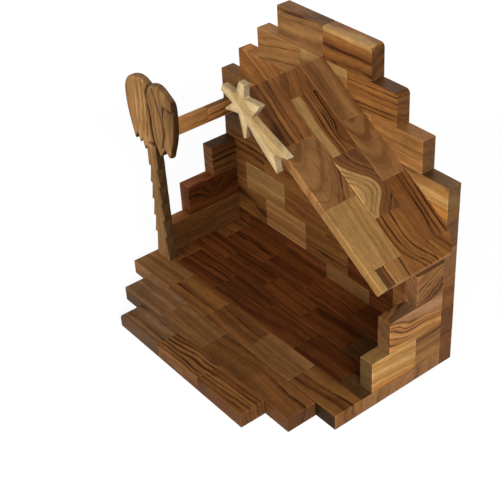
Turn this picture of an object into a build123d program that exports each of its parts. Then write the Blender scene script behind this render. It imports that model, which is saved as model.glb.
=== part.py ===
"""Wooden stable of small glued blocks: stepped back wall, side walls, one-sided roof, palm and star."""
import os
from math import cos, radians, sin, tan

from build123d import *

# Stock block of the back wall, laid on edge
BLOCK_LENGTH = 50.0
BLOCK_HEIGHT = 25.75
BLOCK_THICKNESS = 12.4

# A rounded edge takes at most this share of the piece's thickness
EDGE_LIMIT_SHARE = 0.45

# Back wall: full courses below, a stepped gable above
WALL_BLOCK_COUNT = 5
GROUPED_COURSE_COUNT = 5
FULL_COURSE_COUNT = 6
GABLE_BLOCK_COUNTS = (4, 3, 2)
WORN_EDGE_RADIUS = 3.6

# Base: full-width rows, then two shorter rows in front
BASE_THICKNESS = 12.8
BASE_APRON = 28.6
BASE_ROW_COUNT = 4
STEP_ROW_DEPTH = 25.9
STEP_ROW_LEFT = 25.5
STEP_ROW_RIGHT = 20.0
STEP_ROW_BLOCK_COUNT = 4
FRONT_ROW_DEPTH = 21.8
FRONT_ROW_LEFT = 51.0
FRONT_ROW_RIGHT = 45.5
FRONT_ROW_BLOCK_COUNT = 3
FRONT_CORNER_RADIUS = 5.5

# Side walls: stepped courses on the base, lengths measured forward from the back wall
SIDE_COURSE_COUNT = 3
SIDE_COURSE_HEIGHT = 27.0
REAR_BLOCK_LENGTH = 25.0
LEFT_MIDDLE_LENGTH = 51.2
LEFT_TOP_LENGTH = 24.5
RIGHT_BOTTOM_LENGTH = 68.4
RIGHT_MIDDLE_LENGTH = 51.6
RIGHT_TOP_LENGTH = 26.0

# Roof: one slope from the middle of the back wall down past the right wall
ROOF_PITCH = 33.6
ROOF_REST_HEIGHT = 22.4
EAVE_OVERHANG = 14.8
ROOF_TILE_THICKNESS = 7.5
ROOF_TILE_COUNT = 3
EAVE_PIECE_LENGTH = 15.1
EAVE_CORNER_TRIM = 8.5
FRONT_STRIP_WIDTH = 29.3
MIDDLE_STRIP_WIDTH = 24.2
REAR_STRIP_WIDTH = 21.5
MIDDLE_FIRST_TILE_LENGTH = 20.8
EAVE_FILLER_SHARES = (0.20, 0.26, 0.54)

# Side beam: two thin slats end to end, flush with the left wall's inner face
BEAM_THICKNESS = 6.2
BEAM_HEIGHT = 12.6
BEAM_BELOW_CROWN = 3.4
BEAM_REAR_LENGTH = 25.0

# Palm: a flat cut-out that stands on the base in front of the left wall
PALM_THICKNESS = 7.0
PALM_CENTRE = 13.0
TRUNK_HEIGHT = 109.0
TRUNK_FOOT_WIDTH = 17.5
TRUNK_TOP_WIDTH = 12.0
TRUNK_FIRST_TOOTH = 21.5
TRUNK_TOOTH_PITCH = 16.1
TRUNK_TOOTH_DEPTH = 2.6
TRUNK_TOOTH_RUN_SHARE = 0.85
CROWN_SHIFT = 2.0
CROWN_WIDTH = 64.5
CROWN_HEIGHT = 60.0
CROWN_SINK = 4.3
CROWN_EDGE_RADIUS = 2.4
LEFT_EDGE_SHARES = ((-0.38, 0.0), (-0.46, 0.30), (-0.50, 0.64))
LEFT_LOBE_SHARES = ((-0.50, 0.64), (-0.41, 0.90), (-0.20, 1.0), (0.02, 0.945))
RIGHT_LOBE_SHARES = ((0.02, 0.945), (0.24, 1.0), (0.42, 0.90), (0.50, 0.66))
RIGHT_EDGE_SHARES = ((0.50, 0.66), (0.46, 0.30), (0.365, 0.02))
FROND_TIP_SHARES = (
    (0.365, 0.02),
    (0.28, 0.13),
    (0.17, -0.03),
    (0.08, 0.14),
    (-0.10, 0.08),
    (-0.17, -0.07),
    (-0.21, 0.09),
    (-0.26, 0.0),
    (-0.30, 0.15),
    (-0.38, 0.0),
)

# Comet star: a flat cut-out on the roof's front edge, its tail a little steeper than the slope
STAR_THICKNESS = 6.5
STAR_FROM_RIDGE = 9.4
STAR_TILT = 2.4
STAR_REACH = 23.0
RAY_ANGLES = (57.0, 116.0, 194.0, 240.0, 315.0)
RAY_REACH_SHARES = (1.0, 0.85, 0.92, 0.80, 1.0)
RAY_BLUNT_SHARES = (0.04, 0.24, 0.24, 0.04, 0.09)
VALLEY_ANGLES = (94.0, 152.0, 214.0, 284.0)
VALLEY_REACH_SHARES = (0.43, 0.43, 0.36, 0.26)
TAIL_LENGTH = 52.0
TAIL_ROOT = 12.0
TAIL_ROOT_WIDTH = 8.6
TAIL_RISE = 14.0
TAIL_FALL = 6.6
TAIL_NOTCH_DEPTH = 10.5
TAIL_NOTCH_RISE = 2.4

# Sizes and places that follow from the values above, from the back wall's left front corner
WALL_LENGTH = WALL_BLOCK_COUNT * BLOCK_LENGTH
ROOF_DEPTH = FRONT_STRIP_WIDTH + MIDDLE_STRIP_WIDTH + REAR_STRIP_WIDTH
BASE_ROW_DEPTH = (ROOF_DEPTH + BASE_APRON) / BASE_ROW_COUNT
BASE_DEPTH = ROOF_DEPTH + BASE_APRON + STEP_ROW_DEPTH + FRONT_ROW_DEPTH
SIDE_WALL_TOP = BASE_THICKNESS + SIDE_COURSE_COUNT * SIDE_COURSE_HEIGHT
SLOPE = radians(ROOF_PITCH)
RIDGE_X = WALL_LENGTH / 2
ROOF_LENGTH = (WALL_LENGTH + EAVE_OVERHANG - RIDGE_X) / cos(SLOPE)
ROOF_TILE_LENGTH = (ROOF_LENGTH - EAVE_PIECE_LENGTH) / ROOF_TILE_COUNT
ROOF_UNDERSIDE_AT_WALL = SIDE_WALL_TOP + ROOF_REST_HEIGHT
RIDGE_Z = ROOF_UNDERSIDE_AT_WALL + ROOF_TILE_THICKNESS / cos(SLOPE) + (WALL_LENGTH - RIDGE_X) * tan(SLOPE)
CROWN_CENTRE = PALM_CENTRE + CROWN_SHIFT
CROWN_BOTTOM = BASE_THICKNESS + TRUNK_HEIGHT - CROWN_SINK
BEAM_BOTTOM = BASE_THICKNESS + TRUNK_HEIGHT - BEAM_BELOW_CROWN

# The model's origin: middle of the overall box, on the underside
LEFT_END = min(0, CROWN_CENTRE - CROWN_WIDTH / 2)
RIGHT_END = max(WALL_LENGTH, WALL_LENGTH + EAVE_OVERHANG)
TO_ORIGIN = Pos(-(LEFT_END + RIGHT_END) / 2, (BASE_DEPTH - BLOCK_THICKNESS) / 2, 0)

# The roof's own plane: X down the slope from the ridge, Y to the back, Z out of the top face
ROOF_PLANE = Plane(
    origin=(RIDGE_X, 0, RIDGE_Z),
    x_dir=(cos(SLOPE), 0, -sin(SLOPE)),
    z_dir=(sin(SLOPE), 0, cos(SLOPE)),
)


def block(x_span, y_span, z_span):
    """Box between two values on each axis."""
    lows = [min(span) for span in (x_span, y_span, z_span)]
    sizes = [max(span) - min(span) for span in (x_span, y_span, z_span)]
    return Pos(*lows) * Box(*sizes, align=(Align.MIN, Align.MIN, Align.MIN))


def equal_spans(start, end, count):
    """Split a run into equal blocks."""
    step = (end - start) / count
    return [(start + step * number, start + step * (number + 1)) for number in range(count)]


def bonded_spans(start, end, count, shifted):
    """Split a run into blocks; a shifted run starts and ends with a half block."""
    if not shifted:
        return equal_spans(start, end, count)
    half = (end - start) / count / 2
    inner = equal_spans(start + half, end - half, count - 1)
    return [(start, start + half), *inner, (end - half, end)]


def rounded(edges, radius, thickness):
    """Round edges of a piece, with a radius that its thickness can take."""
    return fillet(edges, min(radius, EDGE_LIMIT_SHARE * thickness))


def save(name, *solids):
    """Write one node, moved to the model's origin."""
    moved = [TO_ORIGIN * solid for solid in solids]
    shape = moved[0] if len(moved) == 1 else Compound(children=moved)
    export_step(shape, f"parts/{name}.step")


def back_wall():
    """Full courses in running bond, then the stepped gable with broken joints."""
    depth = (0, BLOCK_THICKNESS)
    for course in range(FULL_COURSE_COUNT):
        height = (course * BLOCK_HEIGHT, (course + 1) * BLOCK_HEIGHT)
        shifted = (FULL_COURSE_COUNT - 1 - course) % 2 == 1
        spans = bonded_spans(0, WALL_LENGTH, WALL_BLOCK_COUNT, shifted)
        blocks = [block(span, depth, height) for span in spans]
        if course < GROUPED_COURSE_COUNT:
            save(f"back_wall_course_{course + 1}", *blocks)
        else:
            for number, solid in enumerate(blocks, start=1):
                save(f"eaves_course_block_{number}", solid)
    for step, count in enumerate(GABLE_BLOCK_COUNTS):
        course = FULL_COURSE_COUNT + step
        height = (course * BLOCK_HEIGHT, (course + 1) * BLOCK_HEIGHT)
        inset = (WALL_LENGTH - count * BLOCK_LENGTH) / 2
        spans = equal_spans(inset, WALL_LENGTH - inset, count)
        for number, span in enumerate(spans, start=1):
            solid = block(span, depth, height)
            if step > 0 and number == count:
                worn = solid.edges().filter_by(Axis.Y).group_by(Axis.Z)[-1].sort_by(Axis.X)[-1]
                solid = rounded(worn, WORN_EDGE_RADIUS, BLOCK_THICKNESS)
            save(f"gable_step_{step + 1}_block_{number}", solid)


def base():
    """Full-width rows under the stable, then the stepped row and the front row."""
    height = (0, BASE_THICKNESS)
    for row in range(BASE_ROW_COUNT):
        depth = (-row * BASE_ROW_DEPTH, -(row + 1) * BASE_ROW_DEPTH)
        spans = bonded_spans(0, WALL_LENGTH, WALL_BLOCK_COUNT, row % 2 == 0)
        save(f"floor_row_{row + 1}", *[block(span, depth, height) for span in spans])
    step_back = -(ROOF_DEPTH + BASE_APRON)
    step_front = step_back - STEP_ROW_DEPTH
    spans = equal_spans(STEP_ROW_LEFT, WALL_LENGTH - STEP_ROW_RIGHT, STEP_ROW_BLOCK_COUNT)
    for number, span in enumerate(spans, start=1):
        save(f"floor_step_block_{number}", block(span, (step_front, step_back), height))
    spans = equal_spans(FRONT_ROW_LEFT, WALL_LENGTH - FRONT_ROW_RIGHT, FRONT_ROW_BLOCK_COUNT)
    for number, span in enumerate(spans, start=1):
        solid = block(span, (-BASE_DEPTH, step_front), height)
        if number == 1:
            worn = solid.edges().filter_by(Axis.Y).group_by(Axis.Z)[-1].sort_by(Axis.X)[0]
            solid = rounded(worn, FRONT_CORNER_RADIUS, BASE_THICKNESS)
        save(f"floor_front_block_{number}", solid)


def side_course(level):
    """Height span of one side-wall course, counted from 0 at the base."""
    low = BASE_THICKNESS + level * SIDE_COURSE_HEIGHT
    return (low, low + SIDE_COURSE_HEIGHT)


def side_walls():
    """Stepped courses at the left and right ends, and the wedge that carries the roof."""
    left = (0, BLOCK_THICKNESS)
    right = (WALL_LENGTH - BLOCK_THICKNESS, WALL_LENGTH)
    walls = {
        "left_wall": (left, (ROOF_DEPTH, LEFT_MIDDLE_LENGTH, LEFT_TOP_LENGTH)),
        "right_wall": (right, (RIGHT_BOTTOM_LENGTH, RIGHT_MIDDLE_LENGTH, RIGHT_TOP_LENGTH)),
    }
    for wall, (across, (bottom, middle, top)) in walls.items():
        save(f"{wall}_bottom_rear", block(across, (-REAR_BLOCK_LENGTH, 0), side_course(0)))
        save(f"{wall}_bottom_front", block(across, (-bottom, -REAR_BLOCK_LENGTH), side_course(0)))
        save(f"{wall}_middle", block(across, (-middle, 0), side_course(1)))
        save(f"{wall}_top", block(across, (-top, 0), side_course(2)))
    rise = BLOCK_THICKNESS * tan(SLOPE)
    outline = Polyline(
        (right[0], SIDE_WALL_TOP),
        (right[1], SIDE_WALL_TOP),
        (right[1], ROOF_UNDERSIDE_AT_WALL),
        (right[0], ROOF_UNDERSIDE_AT_WALL + rise),
        close=True,
    )
    save("roof_rest_wedge", extrude(Plane.XZ * make_face(outline), RIGHT_TOP_LENGTH))


def roof():
    """Three strips of tiles down the slope, the middle one started short to break the joints."""
    rear = (-REAR_STRIP_WIDTH, 0)
    middle = (-REAR_STRIP_WIDTH - MIDDLE_STRIP_WIDTH, -REAR_STRIP_WIDTH)
    front = (-ROOF_DEPTH, -REAR_STRIP_WIDTH - MIDDLE_STRIP_WIDTH)
    strips = {
        "rear": (rear, ROOF_TILE_LENGTH),
        "middle": (middle, MIDDLE_FIRST_TILE_LENGTH),
        "front": (front, ROOF_TILE_LENGTH),
    }
    thickness = (-ROOF_TILE_THICKNESS, 0)
    for strip, (across, first) in strips.items():
        joints = [first + ROOF_TILE_LENGTH * number for number in range(ROOF_TILE_COUNT)]
        cuts = [0, *joints, ROOF_LENGTH]
        for number, span in enumerate(zip(cuts, cuts[1:]), start=1):
            if strip == "front" and number > ROOF_TILE_COUNT:
                eave_fillers(span, across, thickness)
            elif strip == "rear" and number > ROOF_TILE_COUNT:
                save(f"roof_{strip}_tile_{number}", ROOF_PLANE * trimmed_tile(span, across))
            else:
                save(f"roof_{strip}_tile_{number}", ROOF_PLANE * block(span, across, thickness))


def trimmed_tile(span, across):
    """Tile with its rear corner sawn off slantwise at the eave, clear of the back wall's end."""
    outline = Polyline(
        (span[0], across[0]),
        (span[1], across[0]),
        (span[1], across[1] - EAVE_CORNER_TRIM),
        (span[0], across[1]),
        close=True,
    )
    return extrude(Plane.XY.offset(-ROOF_TILE_THICKNESS) * make_face(outline), ROOF_TILE_THICKNESS)


def eave_fillers(span, across, thickness):
    """Narrow filler tiles side by side at the front corner of the eave, counted from the front."""
    edge = across[0]
    for number, share in enumerate(EAVE_FILLER_SHARES, start=1):
        next_edge = edge + share * FRONT_STRIP_WIDTH
        save(f"eave_filler_{number}", ROOF_PLANE * block(span, (edge, next_edge), thickness))
        edge = next_edge


def beam():
    """Two slats end to end from the back wall to the back of the palm."""
    across = (BLOCK_THICKNESS - BEAM_THICKNESS, BLOCK_THICKNESS)
    height = (BEAM_BOTTOM, BEAM_BOTTOM + BEAM_HEIGHT)
    save("side_beam_rear", block(across, (-BEAM_REAR_LENGTH, 0), height))
    save("side_beam_front", block(across, (-ROOF_DEPTH, -BEAM_REAR_LENGTH), height))


def crown_points(shares):
    """Turn shares of the crown's width and height into points."""
    return [(CROWN_CENTRE + x * CROWN_WIDTH, CROWN_BOTTOM + z * CROWN_HEIGHT) for x, z in shares]


def trunk_edge(direction, drop):
    """Point on one side of the trunk at a distance below its top, across and up."""
    half = (TRUNK_TOP_WIDTH + (TRUNK_FOOT_WIDTH - TRUNK_TOP_WIDTH) * drop / TRUNK_HEIGHT) / 2
    return (PALM_CENTRE + direction * half, BASE_THICKNESS + TRUNK_HEIGHT - drop)


def trunk_chip(direction, drop, next_drop):
    """Chip cut from a front corner of the trunk: deepest under one tooth, nothing left at the next."""
    front = -ROOF_DEPTH - PALM_THICKNESS
    edge, height = trunk_edge(direction, drop)
    low_edge, low_height = trunk_edge(direction, next_drop)
    ledge = Polyline(
        (edge - direction * TRUNK_TOOTH_DEPTH, front, height),
        (edge, front + TRUNK_TOOTH_RUN_SHARE * PALM_THICKNESS, height),
        (edge + direction * TRUNK_TOOTH_DEPTH, front - TRUNK_TOOTH_DEPTH, height),
        close=True,
    )
    return loft([make_face(ledge), Vertex(low_edge, front, low_height)], ruled=True)


def trunk_chips():
    """All chips of the trunk, down both of its front corners."""
    count = int((TRUNK_HEIGHT - TRUNK_FIRST_TOOTH) / TRUNK_TOOTH_PITCH)
    drops = [TRUNK_FIRST_TOOTH + TRUNK_TOOTH_PITCH * number for number in range(count)]
    spans = list(zip(drops, [*drops[1:], TRUNK_HEIGHT]))
    return [trunk_chip(direction, *span) for direction in (-1, 1) for span in spans]


def palm():
    """Flat palm: saw-tooth trunk and a two-lobed crown with rounded edges and ragged frond tips."""
    outline = Spline(*crown_points(LEFT_EDGE_SHARES), tangents=((-1, 3), (0, 1)))
    outline += Spline(*crown_points(LEFT_LOBE_SHARES), tangents=((0, 1), (2, -1)))
    outline += Spline(*crown_points(RIGHT_LOBE_SHARES), tangents=((2, 1), (0, -1)))
    outline += Spline(*crown_points(RIGHT_EDGE_SHARES), tangents=((0, -1), (-1, -3)))
    outline += Polyline(*crown_points(FROND_TIP_SHARES))
    corners = [trunk_edge(direction, drop) for direction in (-1, 1) for drop in (0, TRUNK_HEIGHT)]
    trunk = Polyline(corners[0], corners[1], corners[3], corners[2], close=True)
    face = make_face(outline) + make_face(trunk)
    front = Plane(origin=(0, -ROOF_DEPTH, 0), x_dir=(1, 0, 0), z_dir=(0, -1, 0))
    slab = extrude(front * face, PALM_THICKNESS) - trunk_chips()
    lobes = slab.edges().filter_by(GeomType.BSPLINE)
    save("palm_tree", rounded(lobes, CROWN_EDGE_RADIUS, PALM_THICKNESS))


def polar_point(radius, degrees):
    """Point at a distance and an angle from the star's centre."""
    return (radius * cos(radians(degrees)), radius * sin(radians(degrees)))


def ray_points():
    """Ray tips and the valleys between them, round from the tail's upper side to its lower side."""
    points = []
    for number, angle in enumerate(RAY_ANGLES):
        tip_x, tip_y = polar_point(RAY_REACH_SHARES[number] * STAR_REACH, angle)
        side_x, side_y = polar_point(RAY_BLUNT_SHARES[number] * STAR_REACH / 2, angle - 90)
        points.append((tip_x + side_x, tip_y + side_y))
        points.append((tip_x - side_x, tip_y - side_y))
        if number < len(VALLEY_ANGLES):
            points.append(polar_point(VALLEY_REACH_SHARES[number] * STAR_REACH, VALLEY_ANGLES[number]))
    return points


def star():
    """Flat comet star with blunt and pointed rays and a forked tail down the roof's front edge."""
    outline = Polyline(
        (TAIL_ROOT, TAIL_ROOT_WIDTH / 2),
        *ray_points(),
        (TAIL_ROOT, -TAIL_ROOT_WIDTH / 2),
        (TAIL_LENGTH, -TAIL_FALL),
        (TAIL_LENGTH - TAIL_NOTCH_DEPTH, TAIL_NOTCH_RISE),
        (TAIL_LENGTH, TAIL_RISE),
        close=True,
    )
    centre = ROOF_PLANE.from_local_coords(Vector(STAR_FROM_RIDGE, -ROOF_DEPTH, -ROOF_TILE_THICKNESS / 2))
    tilt = SLOPE + radians(STAR_TILT)
    front = Plane(origin=centre, x_dir=(cos(tilt), 0, -sin(tilt)), z_dir=(0, -1, 0))
    save("comet_star", extrude(front * make_face(outline), STAR_THICKNESS))


os.makedirs("parts", exist_ok=True)
back_wall()
base()
side_walls()
roof()
beam()
palm()
star()
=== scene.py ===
"""Looks of a stable glued from small olive-wood blocks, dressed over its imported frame."""
import logging
import math
from dataclasses import dataclass, field, replace
from enum import Enum

import bmesh
import bpy
import numpy as np
from mathutils import Matrix, Quaternion, Vector


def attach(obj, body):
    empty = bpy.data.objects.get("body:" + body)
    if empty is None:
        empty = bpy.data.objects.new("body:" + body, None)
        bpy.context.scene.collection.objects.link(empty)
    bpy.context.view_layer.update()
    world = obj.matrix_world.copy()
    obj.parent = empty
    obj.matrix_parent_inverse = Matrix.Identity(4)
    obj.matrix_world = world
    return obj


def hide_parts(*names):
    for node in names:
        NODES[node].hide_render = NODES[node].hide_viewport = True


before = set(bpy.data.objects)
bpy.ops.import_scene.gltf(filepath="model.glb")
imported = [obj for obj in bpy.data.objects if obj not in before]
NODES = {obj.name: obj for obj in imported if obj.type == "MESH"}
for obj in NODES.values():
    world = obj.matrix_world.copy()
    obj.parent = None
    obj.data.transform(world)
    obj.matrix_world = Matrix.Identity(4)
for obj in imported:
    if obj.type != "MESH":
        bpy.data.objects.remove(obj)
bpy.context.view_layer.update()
BODY = "root"

MM = 0.001
EDGE_RADIUS = 0.55 * MM
EDGE_STEPS = 2
SHARP_ANGLE = math.radians(30)
FLAT_ANGLE = math.radians(1)
MERGE_DISTANCE = 0.002 * MM
UNEVENNESS = 0.1 * MM
HALF_BLOCK_LIMIT = 0.75
JOINT_DIGITS = 5
AREA_DIGITS = 8
END_GRAIN_LIMITS = (0.55, 0.8)
HIGHLIT_WORN_EDGE_LIMITS = (0.9, 0.99)
AWAY_LIMITS = (0.6, 1.6)
STREAK_SETS = (1, 2)
SET_SIZE = 3
FAR_AWAY = 1000.0
FIRST_SEED = 3
BUMP_STRENGTH = 0.25
BUMP_DISTANCE = 0.15 * MM
WOOD_SPECULAR = 0.05

log = logging.getLogger("stable")

Colour = tuple[float, float, float, float]
Pair = tuple[float, float]
Triple = tuple[float, float, float]
Mesh = bpy.types.Mesh
Piece = bpy.types.Object
Socket = bpy.types.NodeSocket
Inputs = dict[str | int, object]
Looks = tuple["Look", ...]

RIGHT = Vector((1, 0, 0))
BACK = Vector((0, 1, 0))
UP = Vector((0, 0, 1))


def tint(code: str) -> Colour:
    """Linear colour of a six-digit screen colour.

    Args:
        code: Screen colour such as "c8a060".

    Returns:
        Red, green, blue and alpha for a node socket.
    """
    screen = [int(code[place : place + 2], 16) / 255 for place in (0, 2, 4)]
    linear = [c / 12.92 if c <= 0.04045 else ((c + 0.055) / 1.055) ** 2.4 for c in screen]
    return (*linear, 1.0)


class Graph:
    """A node tree with the few steps that every tree here is built from."""

    def __init__(self, tree: bpy.types.NodeTree) -> None:
        """Keep the tree that the steps work on."""
        self.tree = tree

    def socket(self, kind: str, *names: str, way: str = "INPUT") -> None:
        """Add named inputs or outputs of one kind to the tree."""
        for name in names:
            self.tree.interface.new_socket(name, in_out=way, socket_type=f"NodeSocket{kind}")

    def add(self, kind: str, inputs: Inputs | None = None, **settings: object) -> bpy.types.Node:
        """Add a node, set its properties and feed its inputs.

        Args:
            kind: Blender's name for this sort of node.
            inputs: A socket or a plain value for each input, by its name or place.
            settings: Values of its properties.

        Returns:
            The node.
        """
        node = self.tree.nodes.new(kind)
        for name, value in settings.items():
            setattr(node, name, value)
        self.feed(node, inputs or {})
        return node

    def feed(self, node: bpy.types.Node, inputs: Inputs) -> None:
        """Link a node's inputs to other sockets, or give them plain values.

        Args:
            node: The node.
            inputs: A socket or a plain value for each input, by its name or place.
        """
        for name, value in inputs.items():
            if isinstance(value, Socket):
                self.tree.links.new(value, node.inputs[name])
            else:
                node.inputs[name].default_value = value

    def math(self, operation: str, *values: object) -> Socket:
        """Result of a number operation."""
        return self.add("ShaderNodeMath", dict(enumerate(values)), operation=operation).outputs[0]

    def vector(self, operation: str, *values: object) -> Socket:
        """Result of a vector operation."""
        return self.add("ShaderNodeVectorMath", dict(enumerate(values)), operation=operation).outputs[0]

    def noise(self, place: object, seed: object, detail: float) -> Socket:
        """Add a noise.

        Args:
            place: Vector that it runs over, or None where it runs over the seed alone.
            seed: Number that it runs over too.
            detail: How many finer layers it has.

        Returns:
            The noise, from 0 to 1.
        """
        inputs = {"W": seed, "Scale": 1.0, "Detail": detail}
        if place is None:
            return self.add("ShaderNodeTexNoise", inputs, noise_dimensions="1D").outputs[0]
        return self.add("ShaderNodeTexNoise", {"Vector": place, **inputs}, noise_dimensions="4D").outputs[0]

    def ramp(self, value: object, low: object, high: object) -> Socket:
        """Smooth step from 0 at low to 1 at high."""
        limits = {0: value, 1: low, 2: high}
        return self.add("ShaderNodeMapRange", limits, interpolation_type="SMOOTHSTEP").outputs[0]

    def mix(self, share: object, first: object, second: object, blend: str = "MIX") -> Socket:
        """Mix of two colours."""
        # Inputs 6 and 7 and output 2 are the node's colour sockets.
        colours = {0: share, 6: first, 7: second}
        return self.add("ShaderNodeMix", colours, data_type="RGBA", blend_type=blend).outputs[2]

    def attribute(self, name: str) -> bpy.types.Node:
        """Node that reads an attribute of the mesh."""
        return self.add("ShaderNodeAttribute", attribute_name=name)

    def joined(self, *values: object) -> Socket:
        """The vector of three numbers; those left out are 0."""
        return self.add("ShaderNodeCombineXYZ", dict(enumerate(values))).outputs[0]

    def parts(self, vector: Socket) -> list[Socket]:
        """The three numbers of a vector."""
        return list(self.add("ShaderNodeSeparateXYZ", {0: vector}).outputs)


class OliveGrain:
    """Solid olive wood as a shader group: rings round a pith, dark streaks, fibres and pores.

    It reads what each block carries: its place in the log in millimetres (grain), its pith distance, taper
    and seed (rings), a knot's place and strength (knot) and its reach (spread), the places and half widths
    of its dark streaks (streaks, widths), its tone and where a zone of other wood starts (wood), that
    zone's colour (zone), and for each face its shade and whether it is end grain (shade, end).

    A noise is given by its scales along and across the grain and its detail, a band by its step across the
    rings, its shift from block to block and its detail, limits by where a mask starts and where it is full,
    and a gain by a factor and what is added.
    """

    wave = (0.018, 0.055, 2.5)
    fibre = (0.05, 1.5, 3.0)
    pore = (0.14, 1.5, 1.0)
    blotch = (0.025, 0.08, 2.0)
    patch = (0.03, 0.11, 2.0)
    thread = (0.06, 0.75, 3.0)
    mottle = (0.16, 0.42, 3.0)
    broad_band = (9.0, 13.7, 1.0)
    line_band = (0.9, 7.7, 1.0)
    streak_band = (2.4, 9.3, 2.0)
    ring_shift = 5.1
    ring_detail = 1.5
    line_share = 0.42
    fibre_bend = 0.9
    figure_limits = (0.38, 0.62)
    chance_core = (0.57, 0.68)
    chance_halo = (0.46, 0.66)
    streak_core = (1.3, 0.5)
    streak_halo = (2.8, 0.7)
    core_cover = 0.68
    halo_cover = 0.32
    streak_cover = 0.94
    least_width = 0.001
    patch_limits = (0.38, 0.60)
    patch_gain = (0.55, 0.45)
    zone_limits = (-0.9, 0.9)
    zone_cover = 0.88
    zone_gain = (-0.36, 1.16)
    pore_limits = (0.60, 0.74)
    pore_gain = (-0.30, 1.02)
    fibre_gain = (0.50, 0.75)
    fine_gain = (0.60, 0.70)
    blotch_gain = (0.70, 0.65)
    roughness_gain = (0.16, 0.42)
    pore_depth = 0.6
    streak_depth = 0.25
    end_cast = (0.99, 1.0, 1.18, 1.0)
    end_calm = 0.35

    def __init__(self) -> None:
        """Build the group once; every finish uses it."""
        self.tree = bpy.data.node_groups.new("olive_grain", "ShaderNodeTree")
        self.graph = Graph(self.tree)
        self.graph.socket("Color", "Pale", "Deep", "Streak")
        self.graph.socket("Float", "Ring Width", "Ring Contrast", "Streak Share", "Wave")
        self.graph.socket("Color", "Color", way="OUTPUT")
        self.graph.socket("Float", "Roughness", "Height", way="OUTPUT")
        self.given = self.graph.add("NodeGroupInput").outputs
        self.grain = self.carried("grain")
        self.pith, self.taper, self.seed = self.graph.parts(self.carried("rings"))
        self.fill()

    def carried(self, name: str) -> Socket:
        """Vector that the blocks carry under a name."""
        return self.graph.attribute(name).outputs["Vector"]

    def noise(self, kind: Triple) -> Socket:
        """Add a noise that is stretched along the grain.

        Args:
            kind: Its scales along and across the grain, and its detail.

        Returns:
            The noise, from 0 to 1.
        """
        along, across, detail = kind
        place = self.graph.vector("MULTIPLY", self.grain, (along, across, across))
        return self.graph.noise(place, self.seed, detail)

    def knot_lift(self) -> Socket:
        """Push the rings aside round a knot.

        Returns:
            How far they are moved at this place.
        """
        g = self.graph
        knot = self.carried("knot")
        off = g.vector("MULTIPLY", g.vector("SUBTRACT", self.grain, knot), self.carried("spread"))
        along, across, _ = g.parts(off)
        square = g.math("ADD", g.math("MULTIPLY", along, along), g.math("MULTIPLY", across, across))
        return g.math("MULTIPLY", g.math("EXPONENT", g.math("MULTIPLY", square, -1.0)), g.parts(knot)[2])

    def ring_place(self, fibre: Socket) -> Socket:
        """Measure across the rings, which are wavy along the grain.

        Args:
            fibre: The fibres' noise, which roughens the rings a little.

        Returns:
            Distance from the ring through the block's middle, in millimetres.
        """
        g = self.graph
        along, across, depth = g.parts(self.grain)
        square = g.math("ADD", g.math("MULTIPLY", across, across), g.math("MULTIPLY", depth, depth))
        place = g.math("SUBTRACT", g.math("SQRT", square), self.pith)
        place = g.math("MULTIPLY_ADD", along, self.taper, place)
        place = g.math("ADD", place, self.knot_lift())
        bend = g.math("SUBTRACT", self.noise(self.wave), 0.5)
        place = g.math("MULTIPLY_ADD", bend, g.math("MULTIPLY", self.given["Wave"], 2.0), place)
        return g.math("MULTIPLY_ADD", g.math("SUBTRACT", fibre, 0.5), self.fibre_bend, place)

    def band(self, place: Socket, step: object, shift: float, detail: float) -> Socket:
        """Noise across the rings, different for each block."""
        steps = self.graph.math("DIVIDE", place, step)
        return self.graph.noise(None, self.graph.math("MULTIPLY_ADD", self.seed, shift, steps), detail)

    def soft_line(self, value: Socket, core: Pair, halo: Pair) -> Socket:
        """Draw a line with a dark core and a lighter border.

        Args:
            value: Number that the line follows.
            core: Limits of the core.
            halo: Limits of the border.

        Returns:
            The line's mask.
        """
        g = self.graph
        inner = g.math("MULTIPLY", g.ramp(value, *core), self.core_cover)
        return g.math("MULTIPLY_ADD", g.ramp(value, *halo), self.halo_cover, inner)

    def streak_mask(self, place: Socket) -> Socket:
        """Draw the dark streaks: those that the block asks for, and chance ones by the finish's share.

        Args:
            place: Distance across the rings.

        Returns:
            The streaks' mask.
        """
        g = self.graph
        chance = self.soft_line(self.band(place, *self.streak_band), self.chance_core, self.chance_halo)
        mask = g.math("MULTIPLY", chance, self.given["Streak Share"])
        for number in STREAK_SETS:
            centres = g.parts(self.carried(f"streaks_{number}"))
            widths = g.parts(self.carried(f"widths_{number}"))
            for centre, width in zip(centres, widths):
                off = g.math("ABSOLUTE", g.math("SUBTRACT", place, centre))
                share = g.math("DIVIDE", off, g.math("MAXIMUM", width, self.least_width))
                mask = g.math("MAXIMUM", mask, self.soft_line(share, self.streak_core, self.streak_halo))
        patch = g.ramp(self.noise(self.patch), *self.patch_limits)
        return g.math("MULTIPLY", mask, g.math("MULTIPLY_ADD", patch, *self.patch_gain))

    def figure(self, place: Socket) -> Socket:
        """Draw the broad bands, rings and fine lines.

        Args:
            place: Distance across the rings.

        Returns:
            Share of the deep colour.
        """
        g, contrast = self.graph, self.given["Ring Contrast"]
        broad = self.band(place, *self.broad_band)
        ring = self.band(place, self.given["Ring Width"], self.ring_shift, self.ring_detail)
        line = self.band(place, *self.line_band)
        rings = g.math("MULTIPLY_ADD", g.math("SUBTRACT", line, ring), self.line_share, ring)
        total = g.math("MULTIPLY_ADD", g.math("SUBTRACT", rings, broad), contrast, broad)
        return g.ramp(total, *self.figure_limits)

    def grey(self, value: Socket) -> Socket:
        """A number as a grey colour."""
        return self.graph.joined(value, value, value)

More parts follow.
